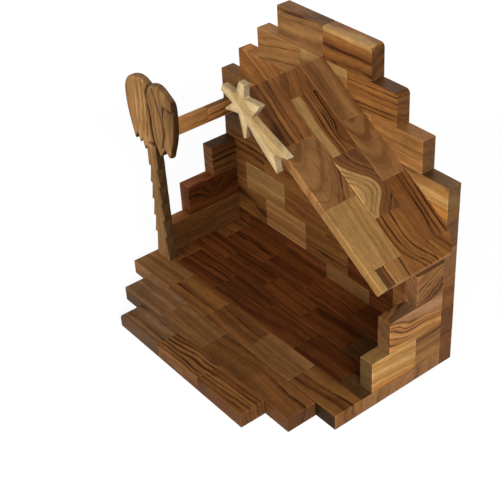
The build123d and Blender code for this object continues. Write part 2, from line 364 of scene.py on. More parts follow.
    def zoned(self, colour: Socket, place: Socket, figure: Socket, wood: list[Socket]) -> Socket:
        """Lay the zone of other wood over the colour.

        Args:
            colour: The block's own colour.
            place: Distance across the rings.
            figure: Share of the deep colour.
            wood: The block's tone, where its zone starts and which way that lies.

        Returns:
            Both colours together.
        """
        g = self.graph
        _, limit, way = wood
        share = g.ramp(g.math("MULTIPLY", g.math("SUBTRACT", place, limit), way), *self.zone_limits)
        share = g.math("MULTIPLY", share, g.math("MULTIPLY", g.math("ABSOLUTE", way), self.zone_cover))
        drawn = self.grey(g.math("MULTIPLY_ADD", figure, *self.zone_gain))
        return g.mix(share, colour, g.mix(1.0, self.carried("zone"), drawn, "MULTIPLY"))

    def fill(self) -> None:
        """Put the wood's colour, roughness and height together."""
        g, given = self.graph, self.given
        fibre = self.noise(self.fibre)
        pore = g.ramp(self.noise(self.pore), *self.pore_limits)
        place = self.ring_place(fibre)
        figure = self.figure(place)
        wood = g.parts(self.carried("wood"))
        colour = self.zoned(g.mix(figure, given["Pale"], given["Deep"]), place, figure, wood)
        streak = self.streak_mask(place)
        colour = g.mix(g.math("MULTIPLY", streak, self.streak_cover), colour, given["Streak"])
        end = g.attribute("end").outputs["Fac"]
        colour = g.mix(g.math("MULTIPLY", end, self.end_calm), colour, given["Pale"])
        fine = g.math("MULTIPLY_ADD", fibre, *self.fibre_gain)
        for value, gain in (
            (self.noise(self.thread), self.fine_gain),
            (self.noise(self.mottle), self.fine_gain),
            (self.noise(self.blotch), self.blotch_gain),
            (pore, self.pore_gain),
        ):
            fine = g.math("MULTIPLY", fine, g.math("MULTIPLY_ADD", value, *gain))
        fine = g.math("MULTIPLY", fine, g.math("MULTIPLY", wood[0], g.attribute("shade").outputs["Fac"]))
        colour = g.mix(1.0, colour, self.grey(fine), "MULTIPLY")
        colour = g.mix(end, colour, g.mix(1.0, colour, self.end_cast, "MULTIPLY"))
        dents = g.math("MULTIPLY_ADD", streak, -self.streak_depth, fibre)
        g.add("NodeGroupOutput", {
            "Color": colour,
            "Roughness": g.math("MULTIPLY_ADD", fibre, *self.roughness_gain),
            "Height": g.math("MULTIPLY_ADD", pore, -self.pore_depth, dents),
        })


GRAIN = OliveGrain()


@dataclass(frozen=True)
class WoodFinish:
    """One sort of olive wood as it comes from the log."""

    title: str
    pale: str
    deep: str
    streak: str
    ring_width: float = 2.0
    ring_contrast: float = 0.45
    streak_share: float = 0.0
    wave: float = 3.0

    def material(self) -> bpy.types.Material:
        """Material of this wood, made on first use."""
        return bpy.data.materials.get(self.title) or self.build()

    def build(self) -> bpy.types.Material:
        """Build the material's nodes round the shared grain group.

        Returns:
            The new material.
        """
        material = bpy.data.materials.new(self.title)
        material.use_nodes = True
        graph = Graph(material.node_tree)
        shader = material.node_tree.nodes["Principled BSDF"]
        wood = graph.add("ShaderNodeGroup", node_tree=GRAIN.tree)
        graph.feed(wood, {
            "Pale": tint(self.pale),
            "Deep": tint(self.deep),
            "Streak": tint(self.streak),
            "Ring Width": self.ring_width,
            "Ring Contrast": self.ring_contrast,
            "Streak Share": self.streak_share,
            "Wave": self.wave,
        })
        bump = graph.add("ShaderNodeBump", {
            "Strength": BUMP_STRENGTH,
            "Distance": BUMP_DISTANCE,
            "Height": wood.outputs["Height"],
        })
        graph.feed(shader, {
            "Normal": bump.outputs["Normal"],
            "Base Color": wood.outputs["Color"],
            "Roughness": wood.outputs["Roughness"],
            "Specular IOR Level": WOOD_SPECULAR,
        })
        return material


class Finish(Enum):
    """Sorts of olive wood that the blocks are cut from."""

    CREAM = WoodFinish("cream_olive", "b48a52", "9a6d3b", "6a4322", 3.4, 0.35, 0.0, 4.0)
    TAN = WoodFinish("tan_olive", "976a3e", "7a512d", "432714", 3.0, 0.40, 0.0, 4.5)
    HONEY = WoodFinish("honey_olive", "a47442", "86592f", "482917", 3.0, 0.40, 0.0, 4.5)
    AMBER = WoodFinish("amber_olive", "9e6834", "804f26", "3f200e", 2.8, 0.35, 0.0, 4.0)
    STRIPED = WoodFinish("striped_olive", "996635", "754722", "351a0d", 2.4, 0.40, 0.38, 6.0)
    BROWN = WoodFinish("brown_olive", "88572d", "694120", "31190c", 2.8, 0.40, 0.06, 5.0)
    DARK = WoodFinish("dark_olive", "75411d", "532a12", "261008", 2.4, 0.40, 0.35, 6.0)
    PLUM = WoodFinish("plum_olive", "80532f", "5f3c22", "2e1a10", 2.6, 0.40, 0.25, 5.0)
    GREY = WoodFinish("grey_olive", "815d3d", "634429", "37210f", 2.6, 0.40, 0.15, 4.5)
    STAR = WoodFinish("carved_star_olive", "c9ae80", "b59565", "97754a", 3.2, 0.35, 0.0, 2.5)
    PALM = WoodFinish("carved_palm_olive", "a07748", "805933", "4c2e16", 2.8, 0.40, 0.08, 3.0)


SAPWOOD = "b48b54"
MAUVE = "835e42"
ORANGE = "a06831"


@dataclass(frozen=True)
class Zone:
    """Part of a block with wood of another colour, on one side of a place across the rings."""

    limit: float
    colour: str
    above: bool = False

    @property
    def way(self) -> float:
        """1 where the zone lies above its limit, -1 where it lies below."""
        return 1.0 if self.above else -1.0


@dataclass(frozen=True)
class Knot:
    """Spot that bends the rings round it: its place, its reach both ways and its strength."""

    along: float
    across: float
    length: float
    width: float
    strength: float


@dataclass(frozen=True)
class Look:
    """How one block was cut: its sort, where the pith lies from its middle, and its marks, in millimetres.

    A streak is a place across the rings and a half width. Tone is how light the block is; on many blocks it
    also holds painted light and shade: darker for blocks in the shade inside the stable, lighter for those
    that a lamp's shadow darkens. End and side are the same for its faces across the grain and across its
    width: partly the end grain's own darker colour, and partly painted light and shade by the way the face
    is turned. Edge highlight is how much paler its edges are: painted highlight where rounded edges catch
    the light, partly real rubbing.
    """

    finish: Finish
    across: float = -60.0
    depth: float = 8.0
    taper: float = 0.0
    streaks: tuple[Pair, ...] = ()
    # tone: the wood's own lightness, on many blocks with painted light and shade in it
    tone: float = 1.0
    zone: Zone | None = None
    knot: Knot | None = None
    end: float = 0.62
    side: float = 1.0
    # paler edges: painted highlight where rounded edges catch the light, partly real rubbing
    edge_highlight_and_wear: float = 0.2

    @property
    def away(self) -> float:
        """Tone of the face at the block's back: the inverse of the block's tone, within limits.

        It takes the painted light and shade of the tone off the back, so that it shows about the finish's
        own colour.
        """
        low, high = AWAY_LIMITS
        return min(max(1 / self.tone, low), high)

    def fields(self, seed: int) -> dict[str, Triple]:
        """The values that each point of the block carries for the grain shader.

        Args:
            seed: Number that sets this block's chance marks.

        Returns:
            One vector for each attribute name.
        """
        marks = [*self.streaks, *[(FAR_AWAY, 0.0)] * (SET_SIZE * len(STREAK_SETS) - len(self.streaks))]
        values = {
            "rings": (math.hypot(self.across, self.depth), self.taper, seed),
            "wood": (self.tone, 0.0, 0.0),
            "zone": (0.0, 0.0, 0.0),
            "knot": (0.0, 0.0, 0.0),
            "spread": (0.0, 0.0, 0.0),
        }
        for number in STREAK_SETS:
            last = number * SET_SIZE
            values[f"streaks_{number}"], values[f"widths_{number}"] = zip(*marks[last - SET_SIZE : last])
        if self.zone:
            values["wood"] = (self.tone, self.zone.limit, self.zone.way)
            values["zone"] = tint(self.zone.colour)[:3]
        if self.knot:
            values["knot"] = (self.knot.along, self.knot.across - self.across, self.knot.strength)
            values["spread"] = (1 / self.knot.length, 1 / self.knot.width, 0.0)
        return values


@dataclass(frozen=True)
class Lay:
    """How a block lies: the way its grain, its width and its thickness run."""

    grain: Vector
    across: Vector

    @property
    def axes(self) -> np.ndarray:
        """The three directions as rows."""
        return np.array([self.grain, self.across, self.grain.cross(self.across)])

    def local(self, points: np.ndarray) -> np.ndarray:
        """Points in the block's own directions."""
        return points @ self.axes.T

    def matrix(self) -> Matrix:
        """Turn from the block's own directions to the frame's."""
        return Matrix(self.axes.T.tolist()).to_4x4()


def points_of(mesh: Mesh) -> np.ndarray:
    """Read the places of a mesh's vertices.

    Args:
        mesh: The mesh.

    Returns:
        One point per row.
    """
    flat = np.empty(len(mesh.vertices) * 3)
    mesh.vertices.foreach_get("co", flat)
    return flat.reshape(-1, 3)


def face_corners(mesh: Mesh) -> tuple[np.ndarray, np.ndarray]:
    """Read the corners of a mesh's faces.

    Args:
        mesh: The mesh.

    Returns:
        Each face's first corner, and the point at each corner.
    """
    starts, corners = np.empty(len(mesh.polygons), np.int32), np.empty(len(mesh.loops), np.int32)
    mesh.polygons.foreach_get("loop_start", starts)
    mesh.loops.foreach_get("vertex_index", corners)
    return starts, corners


def roof_lay() -> Lay:
    """Read the roof's pitch from the largest face of its first tile.

    Returns:
        How all the roof's tiles lie.
    """
    faces = NODES["roof_front_tile_1"].data.polygons
    face = max(faces, key=lambda p: (round(p.area, AREA_DIGITS), p.normal.z))
    normal = face.normal if face.normal.z > 0 else -face.normal
    return Lay(Vector((normal.z, 0, -normal.x)).normalized(), BACK)


ALONG_WALL = Lay(RIGHT, UP)
ON_FLOOR = Lay(RIGHT, BACK)
INTO_DEPTH = Lay(BACK, UP)
DOWN_ROOF = roof_lay()
UPRIGHT = Lay(UP, RIGHT)
ALONG_TAIL = Lay(DOWN_ROOF.grain, DOWN_ROOF.grain.cross(DOWN_ROOF.across))


def placed(title: str, data: bpy.types.ID) -> Piece:
    """Put some data in the scene as a new object.

    Args:
        title: Name of the object.
        data: Its mesh, lamp or camera.

    Returns:
        The object.
    """
    thing = bpy.data.objects.new(title, data)
    bpy.context.scene.collection.objects.link(thing)
    return thing


class BlockCourse:
    """Geometry Nodes tree that lays a course of soft-edged blocks end to end."""

    def __init__(self) -> None:
        """Build the tree for one block, then the tree for a course of them."""
        self.block_tree = self.rounded_block()
        self.tree = self.course()

    @staticmethod
    def rounded_block() -> bpy.types.NodeTree:
        """Tree of one block: a cube grid whose outer points lie a radius outside an inner box.

        Returns:
            Tree with the inputs Size and Edge Radius.
        """
        tree = bpy.data.node_groups.new("rounded_block", "GeometryNodeTree")
        g = Graph(tree)
        g.socket("Vector", "Size")
        g.socket("Float", "Edge Radius")
        g.socket("Geometry", "Block", way="OUTPUT")
        given = g.add("NodeGroupInput").outputs
        lines = {f"Vertices {axis}": 4 for axis in "XYZ"}
        cube = g.add("GeometryNodeMeshCube", {"Size": (2, 2, 2), **lines})
        place = g.add("GeometryNodeInputPosition").outputs[0]
        # Grid points at -1 and 1 keep that number, and those at a third get 0.
        outward = g.vector("FLOOR", g.vector("MULTIPLY_ADD", place, (0.9, 0.9, 0.9), (0.5, 0.5, 0.5)))
        half = g.vector("MULTIPLY", given["Size"], (0.5, 0.5, 0.5))
        inner = g.vector("SUBTRACT", half, given["Edge Radius"])
        core = g.vector("MULTIPLY", g.vector("SIGN", place), inner)
        skin = g.vector("MULTIPLY", g.vector("NORMALIZE", outward), given["Edge Radius"])
        moved = {"Geometry": cube.outputs["Mesh"], "Position": g.vector("ADD", core, skin)}
        g.add("NodeGroupOutput", {0: g.add("GeometryNodeSetPosition", moved).outputs[0]})
        return tree

    def course(self) -> bpy.types.NodeTree:
        """Tree of a course: whole blocks, with half blocks at the ends of a shifted course.

        Returns:
            Tree with named inputs for the course's sizes, seed and material.
        """
        tree = bpy.data.node_groups.new("block_course", "GeometryNodeTree")
        g = Graph(tree)
        g.socket("Float", "Length", "Height", "Thickness", "Edge Radius", "Unevenness")
        g.socket("Int", "Blocks", "Seed")
        g.socket("Bool", "Half Ends")
        g.socket("Material", "Wood")
        g.socket("Geometry", "Course", way="OUTPUT")
        given = g.add("NodeGroupInput").outputs
        index = g.add("GeometryNodeInputIndex").outputs[0]
        pitch = g.math("DIVIDE", given["Length"], given["Blocks"])
        first = g.math("MULTIPLY_ADD", given["Half Ends"], -0.5, index)
        start = g.math("MULTIPLY", g.math("MAXIMUM", first, 0.0), pitch)
        end = g.math("MULTIPLY", g.math("MINIMUM", g.math("ADD", first, 1.0), given["Blocks"]), pitch)
        run = g.math("SUBTRACT", end, start)
        half = g.math("LESS_THAN", run, g.math("MULTIPLY", pitch, HALF_BLOCK_LIMIT))
        middle = g.joined(g.math("MULTIPLY", g.math("ADD", start, end), 0.5))
        limits = {0: (0, -1, -1), 1: (0, 1, 1), "Seed": given["Seed"]}
        chance = g.add("FunctionNodeRandomValue", limits, data_type="FLOAT_VECTOR").outputs[0]
        points = g.add("GeometryNodePoints", {
            "Count": g.math("ADD", given["Blocks"], given["Half Ends"]),
            "Position": g.vector("ADD", middle, g.vector("MULTIPLY", chance, given["Unevenness"])),
        })
        number = {"Geometry": points.outputs[0], "Name": "block", "Value": index}
        numbered = g.add("GeometryNodeStoreNamedAttribute", number, data_type="INT", domain="POINT")
        together = g.add("GeometryNodeJoinGeometry")
        whole = g.math("SUBTRACT", 1.0, half)
        for chosen, share in ((whole, 1.0), (half, 0.5)):
            size = g.joined(g.math("MULTIPLY", pitch, share), given["Height"], given["Thickness"])
            block = g.add("GeometryNodeGroup", node_tree=self.block_tree)
            g.feed(block, {"Size": size, "Edge Radius": given["Edge Radius"]})
            copies = g.add("GeometryNodeInstanceOnPoints", {
                "Points": numbered.outputs[0],
                "Selection": chosen,
                "Instance": block.outputs[0],
            })
            g.feed(together, {0: copies.outputs[0]})
        real = g.add("GeometryNodeRealizeInstances", {0: together.outputs[0]})
        wood = {"Geometry": real.outputs[0], "Material": given["Wood"]}
        g.add("NodeGroupOutput", {0: g.add("GeometryNodeSetMaterial", wood).outputs[0]})
        return tree

    def mesh(self, **values: object) -> Mesh:
        """Run the tree with these inputs.

        Args:
            values: Input values, by the input's name in lower case with underscores.

        Returns:
            Plain mesh that starts at 0 along its grain and is centred across it.
        """
        holder = placed("course_holder", bpy.data.meshes.new("course_holder"))
        modifier = holder.modifiers.new("course", "NODES")
        modifier.node_group = self.tree
        for item in self.tree.interface.items_tree:
            if item.in_out == "INPUT":
                modifier[item.identifier] = values[item.name.lower().replace(" ", "_")]
        return plain_mesh(holder)


def plain_mesh(holder: Piece) -> Mesh:
    """Turn an object's evaluated shape into a plain mesh and remove the object.

    Args:
        holder: Object whose modifiers make the shape.

    Returns:
        The mesh, with no modifier left.
    """
    depsgraph = bpy.context.evaluated_depsgraph_get()
    mesh = bpy.data.meshes.new_from_object(holder.evaluated_get(depsgraph))
    start = holder.data
    bpy.data.objects.remove(holder)
    bpy.data.meshes.remove(start)
    return mesh


class Workshop:
    """Makes the pieces: cuts each block, dresses it in its wood and fixes it to the frame.

    Each block takes the next seed for its chance marks, so the order of the pieces is part of their looks.
    """

    def __init__(self) -> None:
        """Get the course tree ready."""
        self.course = BlockCourse()
        self.seed = FIRST_SEED

    def laid(self, node: str, lay: Lay, looks: Looks) -> Piece:
        """Build a node as a course of blocks, one or many.

        Args:
            node: Name of the node that the course stands for.
            lay: How its blocks lie.
            looks: Looks of its blocks in order along the grain.

        Returns:
            The finished piece.
        """
        local = lay.local(points_of(NODES[node].data))
        joints = np.unique(local[:, 0].round(JOINT_DIGITS))
        low, high = local.min(0), local.max(0)
        halves = len(joints) > 2 and joints[1] - joints[0] < HALF_BLOCK_LIMIT * (joints[2] - joints[1])
        mesh = self.course.mesh(
            length=high[0] - low[0],
            height=high[1] - low[1],
            thickness=high[2] - low[2],
            edge_radius=EDGE_RADIUS,
            unevenness=UNEVENNESS,
            blocks=len(joints) - 1 - int(halves),
            seed=self.seed,
            half_ends=bool(halves),
            wood=looks[0].finish.value.material(),
        )
        middle = (low + high) / 2
        mesh.transform(lay.matrix() @ Matrix.Translation((low[0], middle[1], middle[2])))
        return self.finished(mesh, node, lay, looks)

    def shaped(self, node: str, lay: Lay, look: Look) -> Piece:
        """Build a node whose block isn't a plain box, as a copy of its solid with softened edges.

        Args:
            node: Name of the node.
            lay: How its block lies.
            look: Its look.

        Returns:
            The finished piece.
        """
        return self.finished(solid_copy(node, EDGE_RADIUS), node, lay, (look,))

    def finished(self, mesh: Mesh, node: str, lay: Lay, looks: Looks) -> Piece:
        """Dress a mesh in its blocks' woods and make it a piece on the frame.

        Args:
            mesh: The piece's mesh, in place.
            node: Node that it stands for.
            lay: How its blocks lie.
            looks: One look for each block.

        Returns:
            The piece.
        """
        self.dress(mesh, lay, looks)
        piece = placed(f"{node}_wood", mesh)
        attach(piece, BODY)
        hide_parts(node)
        log.info("%s: %d blocks, %d faces", piece.name, len(looks), len(mesh.polygons))
        return piece

    def dress(self, mesh: Mesh, lay: Lay, looks: Looks) -> None:
        """Write each block's place in the log, its marks and its wood to the mesh.

        Args:
            mesh: Mesh whose points carry a block number where it has several blocks.
            lay: How its blocks lie.
            looks: One look for each block.
        """
        local = lay.local(points_of(mesh)) / MM
        block = np.zeros(len(local), int)
        if "block" in mesh.attributes:
            mesh.attributes["block"].data.foreach_get("value", block)
        fields = {name: np.zeros((len(local), 3)) for name in ("grain", *looks[0].fields(0))}
        for number, look in enumerate(looks):
            mine = block == number
            middle = (local[mine].min(0) + local[mine].max(0)) / 2
            fields["grain"][mine] = local[mine] - middle - (0, look.across, look.depth)
            for name, value in look.fields(self.seed).items():
                fields[name][mine] = value
            self.seed += 1
        for name, values in fields.items():
            written = mesh.attributes.new(name, "FLOAT_VECTOR", "POINT")
            written.data.foreach_set("vector", values.astype(np.float32).ravel())
        self.dress_faces(mesh, lay, block, looks)

    @staticmethod
    def dress_faces(mesh: Mesh, lay: Lay, block: np.ndarray, looks: Looks) -> None:
        """Give each face its block's wood and its shade, and mark the end grain.

        Args:
            mesh: Mesh to dress.
            lay: How its blocks lie.
            block: Block number of each point.
            looks: One look for each block.
        """
        finishes = list(dict.fromkeys(look.finish for look in looks))
        mesh.materials.clear()
        for finish in finishes:
            mesh.materials.append(finish.value.material())
        normals = np.empty(len(mesh.polygons) * 3)
        mesh.polygons.foreach_get("normal", normals)
        starts, corners = face_corners(mesh)
        mine = block[corners[starts]]
        slots = np.array([finishes.index(look.finish) for look in looks], np.int32)[mine]
        mesh.polygons.foreach_set("material_index", slots)
        facing = lay.local(normals.reshape(-1, 3))
        # Painted light and shade by how each face is turned: lighter or darker end and side faces, a back
        # face that undoes the block's tone, and paler edges for painted highlight, partly real rubbing.
        end, side = (smooth_step(*END_GRAIN_LIMITS, np.abs(facing[:, axis])) for axis in (0, 1))
        away = smooth_step(*END_GRAIN_LIMITS, -facing[:, 2])
        highlit_and_worn = 1 - smooth_step(*HIGHLIT_WORN_EDGE_LIMITS, np.abs(facing).max(1))
        shade = 1 + highlit_and_worn * np.array([look.edge_highlight_and_wear for look in looks])[mine]
        for tone, share in (("end", end), ("side", side), ("away", away)):
            shade *= 1 + share * (np.array([getattr(look, tone) for look in looks])[mine] - 1)
        for name, values in (("end", end), ("shade", shade)):
            written = mesh.attributes.new(name, "FLOAT", "FACE")
            written.data.foreach_set("value", values.astype(np.float32))


def merged(node: str) -> bmesh.types.BMesh:
    """Copy of a node's solid with its triangles joined to flat faces.

    Args:
        node: Name of the node.

    Returns:
        The copy, to be freed by the caller.
    """
    work = bmesh.new()
    work.from_mesh(NODES[node].data)
    bmesh.ops.remove_doubles(work, verts=work.verts, dist=MERGE_DISTANCE)
    bmesh.ops.dissolve_limit(work, angle_limit=FLAT_ANGLE, verts=work.verts, edges=work.edges)
    bmesh.ops.recalc_face_normals(work, faces=work.faces)
    return work


def solid_copy(node: str, radius: float = 0.0) -> Mesh:
    """Copy of a node's solid with flat faces.

    Args:
        node: Name of the node.
        radius: Radius of its softened edges; without one they stay sharp.

    Returns:
        The mesh.
    """
    work = merged(node)
    if radius:
        sharp = [edge for edge in work.edges if edge.calc_face_angle(0) > SHARP_ANGLE]
        bmesh.ops.bevel(work, geom=sharp, offset=radius, segments=EDGE_STEPS, affect="EDGES", profile=0.5)
    mesh = bpy.data.meshes.new(node)
    work.to_mesh(mesh)
    work.free()
    return mesh


@dataclass
class Glued:
    """Blocks that are glued together and lie the same way, each with its look."""

    lay: Lay
    courses: dict[str, Looks] = field(default_factory=dict)
    blocks: dict[str, Look] = field(default_factory=dict)
    cut_blocks: dict[str, Look] = field(default_factory=dict)

    def build(self, shop: Workshop) -> None:
        """Lay the courses, then the single blocks, then those that aren't plain boxes.

        Args:
            shop: Where the pieces are made.
        """
        for node, looks in self.courses.items():
            shop.laid(node, self.lay, looks)
        for node, look in self.blocks.items():
            shop.laid(node, self.lay, (look,))
        for node, look in self.cut_blocks.items():
            shop.shaped(node, self.lay, look)


@dataclass
class BackWall(Glued):
    """Courses in running bond, with a stepped gable above them, whose worn blocks are cut to shape."""

    lay: Lay = ALONG_WALL
    # Painted shade: tones below 1 darken the lower courses, which stand in the shade inside the stable, and
    # tones above 1 on a few blocks are painted light; end and side values paint faces lighter or darker by
    # the way they are turned.
    courses: dict[str, Looks] = field(default_factory=lambda: {
        "back_wall_course_1": (
            Look(Finish.DARK, tone=0.65),
            Look(Finish.DARK, 50, 8, 0.05, (), 0.62),
            Look(Finish.DARK, 40, 8, 0.0, (), 0.65),
            Look(Finish.TAN, -60, 8, 0.02, (), 0.6),
            Look(Finish.DARK, 55, 8, 0.0, (), 0.65),
            Look(Finish.BROWN, tone=1.1, end=0.72),
        ),
        "back_wall_course_2": (
            Look(Finish.AMBER, -40, 12, 0.25, ((2, 4.0),), 0.55),
            Look(Finish.HONEY, -70, 6, 0.02, (), 0.72),
            Look(Finish.AMBER, 60, 8, 0.06, ((5, 1.2),), 0.48),
            Look(Finish.DARK, tone=0.7),
            Look(Finish.BROWN, tone=1.0, end=0.65),
        ),
        "back_wall_course_3": (
            Look(Finish.STRIPED, 60, 5, 0.05, (), 0.62),
            Look(Finish.CREAM, 75, 6, 0.0, (), 0.64),
            Look(Finish.AMBER, -50, 10, 0.08, (), 0.6),
            Look(Finish.BROWN, tone=0.7),
            Look(Finish.BROWN, 50, tone=0.7),
            Look(Finish.AMBER, tone=0.95, end=0.66),
        ),
        "back_wall_course_4": (
            Look(Finish.STRIPED, 60, 5, 0.03, ((-3, 1.2), (5, 1.0)), 0.7),
            Look(Finish.AMBER, -60, 5, 0.05, ((0, 1.5),), 0.66),
            Look(Finish.BROWN, tone=0.8),
            Look(Finish.STRIPED, tone=0.8),
            Look(Finish.TAN, 60, tone=1.1, end=0.76),
        ),
        "back_wall_course_5": (
            Look(Finish.GREY, 60, 5, 0.05, (), 1.02),
            Look(Finish.STRIPED, 60, 8, 0.10, (), 0.75),
            Look(Finish.BROWN, tone=0.9),
            Look(Finish.BROWN),
            Look(Finish.HONEY, tone=0.85),
            Look(Finish.TAN, tone=0.92, end=0.6),
        ),
    })
    blocks: dict[str, Look] = field(default_factory=lambda: {
        "eaves_course_block_1": Look(Finish.TAN, 30, 14, 0.1, (), 1.65, side=0.58),
        "eaves_course_block_2": Look(Finish.BROWN, 50, 10, 0.1),
        "eaves_course_block_3": Look(Finish.TAN, -60, 10),
        "eaves_course_block_4": Look(Finish.AMBER, 60, 10),
        "eaves_course_block_5": Look(
            Finish.CREAM, -60, 5, 0.03, ((12, 1.8),), 1.02, Zone(-4.5, ORANGE), end=0.42, side=0.5,
        ),
        "gable_step_1_block_1": Look(Finish.AMBER, -40, 14, 0.59, ((-1.2, 0.5),), 1.15, side=1.4),
        "gable_step_1_block_2": Look(Finish.TAN, 50, 12, 0.1),
        "gable_step_1_block_3": Look(Finish.CREAM, 60, 10, tone=0.9),
        "gable_step_1_block_4": Look(Finish.HONEY, -70, 10, 0.01, (), 1.0, end=0.5, side=1.3),
        "gable_step_2_block_1": Look(Finish.HONEY, -50, 18, -0.20, ((-8.8, 0.5), (2, 0.3)), 1.0, side=1.3),
        "gable_step_2_block_2": Look(Finish.CREAM, 70, 10, tone=0.86),
        "gable_step_3_block_1": Look(Finish.TAN, -70, 8, -0.06, ((11.5, 1.2), (6.5, 0.3)), side=1.08),
    })
    cut_blocks: dict[str, Look] = field(default_factory=lambda: {
        "gable_step_3_block_2": Look(
            Finish.AMBER, -60, -35, -0.02, ((-4.1, 1.4), (3.8, 0.9), (-6.6, 0.5)), 0.86,
            Zone(11.2, SAPWOOD, True), end=0.5, side=1.15, edge_highlight_and_wear=0.0,
        ),
        "gable_step_2_block_3": Look(
            Finish.AMBER, -70, 8, -0.06, ((8.9, 0.6), (3.4, 0.5), (-1.5, 0.3), (-7.0, 0.8), (-10.8, 0.5)),
            0.88, end=0.62, side=0.5, edge_highlight_and_wear=0.0,
        ),
    })


@dataclass
class Base(Glued):
    """Rows of flat blocks under the stable, from the back to the front, where they step in."""

    lay: Lay = ON_FLOOR
    # Painted shade: low tones darken the floor rows inside the stable as its shade does, end values up to
    # 4.2 paint their right ends lighter, and side values paint the front faces darker.
    courses: dict[str, Looks] = field(default_factory=lambda: {
        "floor_row_1": (
            Look(Finish.BROWN, tone=0.85),
            Look(Finish.DARK, 50, 8, 0.04, ((2, 0.8),), 1.0),
            Look(Finish.DARK, tone=0.85),
            Look(Finish.DARK, 60, 8, 0.0, (), 1.0),
            Look(Finish.DARK, -50, 8, 0.04, (), 0.8),
            Look(Finish.TAN, -60, 8, 0.0, ((-10.8, 1.6),), 0.36, end=3.1),
        ),
        "floor_row_2": (
            Look(Finish.DARK, tone=0.92),
            Look(Finish.DARK, 40, 8, 0.05, (), 0.72),
            Look(Finish.DARK, -50, 8, 0.03, (), 0.78),
            Look(Finish.DARK, tone=0.62),
            Look(Finish.TAN, 16, -14, 0.0, (), 0.28, end=4.2),
        ),
        "floor_row_3": (
            Look(Finish.BROWN, 40, 8, 0.1, (), 0.76),
            Look(Finish.DARK, 40, 8, 0.05, ((-4, 0.8),), 0.78),
            Look(Finish.DARK, -60, 8, 0.04, (), 0.64),
            Look(Finish.DARK, 50, 8, 0.06, (), 0.7),
            Look(Finish.DARK, tone=0.6),
            Look(Finish.TAN, -50, 8, 0.0, ((3, 1.2),), 0.28, end=4.2),
        ),
        "floor_row_4": (
            Look(Finish.TAN, 60, 6, 0.02, (), 0.8),
            Look(Finish.AMBER, 60, 6, 0.05, ((3, 0.8),), 0.66),
            Look(Finish.BROWN, -60, 8, 0.04, ((4, 0.7),), 0.8),
            Look(Finish.TAN, -60, 8, 0.02, (), 0.78),
            Look(Finish.STRIPED, 50, 8, 0.06, ((-3, 0.9), (4, 0.7)), 0.7, end=1.32, side=0.13),
        ),
    })
    blocks: dict[str, Look] = field(default_factory=lambda: {
        "floor_step_block_1": Look(Finish.GREY, 50, 8, 0.05, (), 1.18, side=0.32),
        "floor_step_block_2": Look(Finish.TAN, -60, 8, 0.02, (), 0.74, side=0.55),
        "floor_step_block_3": Look(Finish.AMBER, 30, 12, 0.1, (), 0.46, side=0.6),
        "floor_step_block_4": Look(Finish.BROWN, -40, 10, 0.05, ((3, 0.6),), 0.85, side=0.75, end=0.7),
        "floor_front_block_2": Look(
            Finish.STRIPED, 60, 8, 0.08,
            ((8.5, 0.6), (5, 0.8), (1.4, 0.7), (-2.6, 1.0), (-6.4, 0.7), (-9.5, 0.5)), 0.82,
            knot=Knot(6, 2, 12, 8, 3), side=0.8,
        ),
        "floor_front_block_3": Look(
            Finish.AMBER, 50, 8, 0.06, ((8, 0.6), (4, 0.8), (0.6, 0.4), (-3.6, 0.8), (-8, 0.5)), 0.72,
            end=0.8, side=0.72,
        ),
    })
    cut_blocks: dict[str, Look] = field(default_factory=lambda: {
        "floor_front_block_1": Look(
            Finish.GREY, 60, 10, 0.03, ((-8, 1.0), (4, 0.5)), 0.97, side=0.7, edge_highlight_and_wear=0.1,
        ),
    })


@dataclass
class SideWalls(Glued):
    """Stepped courses at both ends, and the wedge under the eave that carries the roof."""

    lay: Lay = INTO_DEPTH
    # Painted light and shade: the left wall's low tones darken its inner faces, which stand in shade, while
    # its high side and end values light up its tops and front ends; the right wall's side and end values
    # below 1 darken its tops and front ends.
    blocks: dict[str, Look] = field(default_factory=lambda: {
        "left_wall_bottom_rear": Look(Finish.BROWN, 60, 8, 0.0, (), 0.5, side=2.8),
        "left_wall_bottom_front": Look(Finish.BROWN, 50, 8, 0.05, (), 0.44, end=1.4, side=3.2),
        "left_wall_middle": Look(
            Finish.DARK, -60, 8, 0.0, ((3, 0.5), (7, 0.5)), 0.56, knot=Knot(2, 0, 13, 9, 9),
            end=2.4, side=3.8,
        ),
        "left_wall_top": Look(
            Finish.BROWN, 70, 6, 0.02, ((-7, 1.2), (-1, 1.0), (6, 1.2)), 0.62, end=1.7, side=0.75,
        ),
        "right_wall_bottom_rear": Look(Finish.HONEY, 60, 8, 0.04, ((-11, 0.7),), 0.9),
        "right_wall_bottom_front": Look(
            Finish.CREAM, -70, 8, 0.10, ((-9.5, 0.4),), 1.34, Zone(-9.5, ORANGE), side=0.42, end=0.2,
        ),
        "right_wall_middle": Look(
            Finish.HONEY, -60, -40, 0.18, ((8.9, 0.7), (6.4, 0.25), (4.1, 0.6), (0.1, 0.4), (-4.1, 0.7)),
            1.62, Zone(9.2, MAUVE, True), Knot(-8, -3, 12, 10, 3), end=0.28, side=0.46,
        ),
        "right_wall_top": Look(
            Finish.TAN, -50, -50, -0.36, ((-2.3, 0.9), (0.7, 0.7), (3.4, 0.6), (6.2, 0.9), (9.6, 0.8)),
            1.12, end=0.64,
        ),
    })
    cut_blocks: dict[str, Look] = field(default_factory=lambda: {
        "roof_rest_wedge": Look(Finish.BROWN, 50, tone=0.44),
    })


